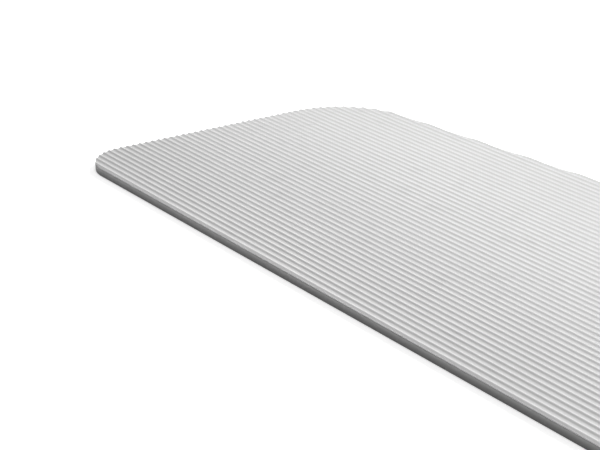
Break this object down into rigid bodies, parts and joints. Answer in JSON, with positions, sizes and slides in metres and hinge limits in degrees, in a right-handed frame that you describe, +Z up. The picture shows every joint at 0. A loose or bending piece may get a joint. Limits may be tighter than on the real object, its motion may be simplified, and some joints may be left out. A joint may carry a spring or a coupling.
{
  "type": "diving board",
  "caption": "Flat diving board: a laminated timber plank with a lengthwise ribbed tread and a dark edge moulding, rounded at the tip and drilled at the butt for anchor bolts.",
  "frame": {"origin": "midway between the two anchor bolts' axes, on the underside of the board", "axes": "+X along the board towards the tip, +Y to the diver's left (the straight side), +Z up out of the tread"},
  "size_m": [2.44, 0.508, 0.0138],
  "materials": {
    "tread": "matte, moulded lengthwise ribs",
    "gelcoat_top": "satin gelcoat over glass fibre",
    "gelcoat_under": "satin gelcoat over glass fibre",
    "edge_moulding": "matte extruded moulding",
    "block_timber": "planed hardwood",
    "stringer_timber": "planed straight-grained softwood",
    "laminate": "cured woven glass laminate",
    "rubber": "matte black rubber",
    "sleeve_steel": "drawn stainless tube",
    "plate_steel": "brushed stainless sheet",
    "screw_steel": "bright stainless"
  },
  "bodies": {
    "root": {"tread_mat": "tread", "top_skin": "gelcoat_top", "bottom_skin": "gelcoat_under", "left_edge_moulding": "edge_moulding", "right_edge_moulding": "edge_moulding", "butt_moulding": "edge_moulding", "nose_block": "block_timber", "butt_block": "block_timber", "stringer_1": "stringer_timber", "stringer_2": "stringer_timber", "stringer_3": "stringer_timber", "stringer_4": "stringer_timber", "stringer_5": "stringer_timber", "stringer_6": "stringer_timber", "stringer_7": "stringer_timber", "stringer_8": "stringer_timber", "stringer_9": "stringer_timber", "stringer_10": "stringer_timber", "fulcrum_doubler": "laminate", "fulcrum_strip": "rubber", "butt_pad": "rubber", "bolt_sleeves": "sleeve_steel", "plate_gasket": "rubber", "anchor_plate": "plate_steel", "plate_screws": "screw_steel"}
  },
  "joints": []
}
